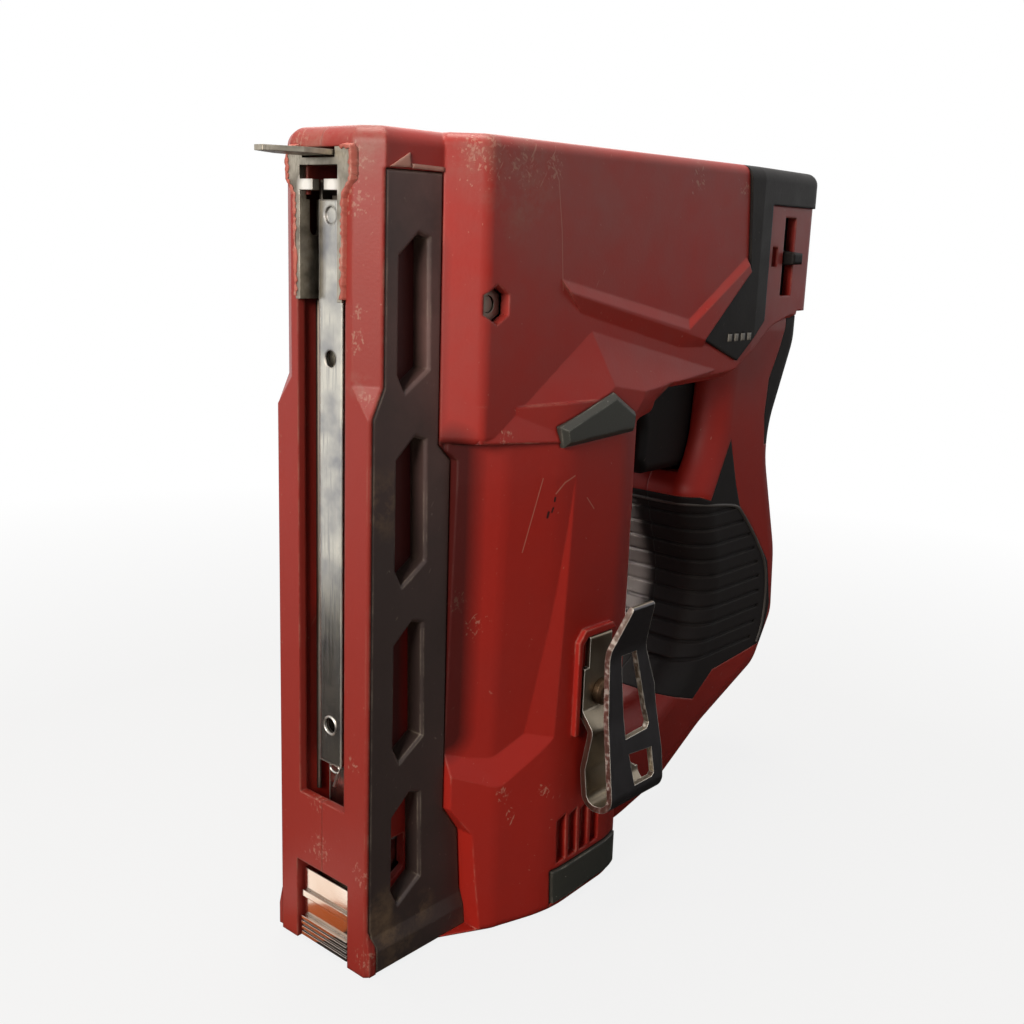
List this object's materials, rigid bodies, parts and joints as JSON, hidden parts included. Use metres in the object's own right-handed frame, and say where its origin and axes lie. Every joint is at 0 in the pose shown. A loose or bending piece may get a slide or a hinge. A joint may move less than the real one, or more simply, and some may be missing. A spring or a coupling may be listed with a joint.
{
  "type": "cordless stapler",
  "caption": "Red cordless stapler standing on its tail: slotted magazine beam, round battery body, ribbed D-handle with trigger, belt hook, and a motor, gear and rack drive inside.",
  "frame": {"origin": "on the tail face the tool stands on, under the centre of the battery pack", "axes": "+Z from the tail to the nose, +X from the work face to the back of the grip, +Y to the tool's right side; the left_ pieces are at -Y"},
  "size_m": [0.2128, 0.0747, 0.206],
  "materials": {
    "red_plastic": "satin moulded nylon, scuffed",
    "black_plastic": "fine-grained moulded plastic",
    "grey_plastic": "matt dark grey plastic",
    "grip_rubber": "matt overmoulded rubber",
    "bright_steel": "bright rolled steel",
    "zinc_steel": "dull zinc-plated steel",
    "spring_steel": "drawn spring wire",
    "black_steel": "black coated steel strip, worn edges",
    "chrome_plate": "plated, finger-worn",
    "gear_steel": "machined, lightly oiled",
    "contact_copper": "stamped contact metal",
    "smoke_lens": "clear grey lens, unlit",
    "cell_wrap": "shrink wrap",
    "board_green": "coated circuit board",
    "bush_bronze": "sintered bronze"
  },
  "bodies": {
    "housing": {"left_housing": "red_plastic", "right_housing": "red_plastic", "left_side_guard": "black_plastic", "right_side_guard": "black_plastic", "left_head_cap": "black_plastic", "right_head_cap": "black_plastic", "left_grip_pad": "grip_rubber", "right_grip_pad": "grip_rubber", "left_back_strap": "grip_rubber", "right_back_strap": "grip_rubber", "left_front_bumper": "grey_plastic", "right_front_bumper": "grey_plastic", "belt_hook": "black_steel", "belt_hook_screw": "zinc_steel", "housing_screws": "zinc_steel", "nose_bolt": "zinc_steel", "nose_nut": "zinc_steel", "gauge_lenses": "smoke_lens", "nose_plate": "bright_steel", "shaft_bushes": "bush_bronze", "idler_shaft": "bright_steel", "motor_can": "zinc_steel", "guide_frame": "zinc_steel", "guide_rods": "bright_steel", "buffer": "grip_rubber", "drive_spring": "spring_steel", "contact_spring": "spring_steel", "trigger_spring": "spring_steel", "terminal_blades": "contact_copper", "terminal_block": "black_plastic", "trigger_switch": "black_plastic", "selector_switch": "black_plastic", "circuit_board": "board_green"},
    "lift": {"lift_pinion": "gear_steel", "lift_wheel": "gear_steel", "lift_shaft": "bright_steel"},
    "idler": {"idler_gear": "gear_steel"},
    "rotor": {"motor_shaft": "bright_steel", "motor_pinion": "gear_steel"},
    "driver": {"driver_carriage": "gear_steel", "driver_blade": "bright_steel"},
    "contact_arm": {"contact_arm": "bright_steel"},
    "trigger": {"trigger": "black_plastic"},
    "selector": {"mode_selector": "black_plastic"},
    "drawer": {"staple_rail": "bright_steel", "pusher_rod": "bright_steel", "pusher_spring": "spring_steel", "latch_pin": "bright_steel"},
    "latch": {"channel_latch": "chrome_plate"},
    "pusher": {"pusher": "zinc_steel"},
    "pack": {"battery_case": "black_plastic", "battery_end_cap": "red_plastic", "battery_cells": "cell_wrap", "battery_contacts": "contact_copper"},
    "left_tab": {"left_release_tab": "grey_plastic"},
    "right_tab": {"right_release_tab": "grey_plastic"}
  },
  "joints": [
    {"name": "lift_turn", "type": "hinge", "parent": "housing", "child": "lift", "pos_m": [0.023, 0, 0.1625], "axis": [0, 1, 0], "range_deg": [-115.2, 0.6]},
    {"name": "driver_stroke", "type": "slide", "parent": "housing", "child": "driver", "axis": [1, 0, 0], "range_m": [-0.02, 0], "deforming": ["drive_spring"]},
    {"name": "idler_turn", "type": "hinge", "parent": "housing", "child": "idler", "pos_m": [0.043, 0, 0.1625], "axis": [0, 1, 0], "range_deg": [-2, 365]},
    {"name": "motor_turn", "type": "hinge", "parent": "housing", "child": "rotor", "pos_m": [0.063, 0, 0.1625], "axis": [0, 1, 0], "range_deg": [-1155, 6]},
    {"name": "contact_press", "type": "slide", "parent": "housing", "child": "contact_arm", "axis": [1, 0, 0], "range_m": [0, 0.006], "stiffness_N_per_m": 300, "springref_m": -0.01, "deforming": ["contact_spring"]},
    {"name": "trigger_pull", "type": "slide", "parent": "housing", "child": "trigger", "axis": [1, 0, 0], "range_m": [0, 0.005], "stiffness_N_per_m": 500, "springref_m": -0.008, "deforming": ["trigger_spring"]},
    {"name": "selector_slide", "type": "slide", "parent": "housing", "child": "selector", "axis": [0, 0, 1], "range_m": [-0.004, 0.008]},
    {"name": "rail_pull", "type": "slide", "parent": "housing", "child": "drawer", "axis": [0, 0, -1], "range_m": [0, 0.1]},
    {"name": "latch_squeeze", "type": "hinge", "parent": "drawer", "child": "latch", "pos_m": [-0.0525, 0, 0.0085], "axis": [0, 1, 0], "range_deg": [0, 12], "stiffness_Nm_per_rad": 0.4, "springref_deg": -8.59},
    {"name": "pusher_slide", "type": "slide", "parent": "drawer", "child": "pusher", "axis": [0, 0, -1], "range_m": [0, 0.085], "stiffness_N_per_m": 60, "springref_m": -0.1, "deforming": ["pusher_spring"]},
    {"name": "pack_slide", "type": "slide", "parent": "housing", "child": "pack", "axis": [0, 0, -1], "range_m": [0, 0.07]},
    {"name": "left_tab_press", "type": "slide", "parent": "pack", "child": "left_tab", "axis": [0, 1, 0], "range_m": [0, 0.0019], "stiffness_N_per_m": 1500, "springref_m": -0.002},
    {"name": "right_tab_press", "type": "slide", "parent": "pack", "child": "right_tab", "axis": [0, -1, 0], "range_m": [0, 0.0019], "stiffness_N_per_m": 1500, "springref_m": -0.002}
  ],
  "couplings": [
    {"joint": "lift_turn", "follows": "driver_stroke", "rad_per_m": 100},
    {"joint": "idler_turn", "follows": "driver_stroke", "rad_per_m": -316.67},
    {"joint": "motor_turn", "follows": "driver_stroke", "rad_per_m": 1002.8}
  ]
}
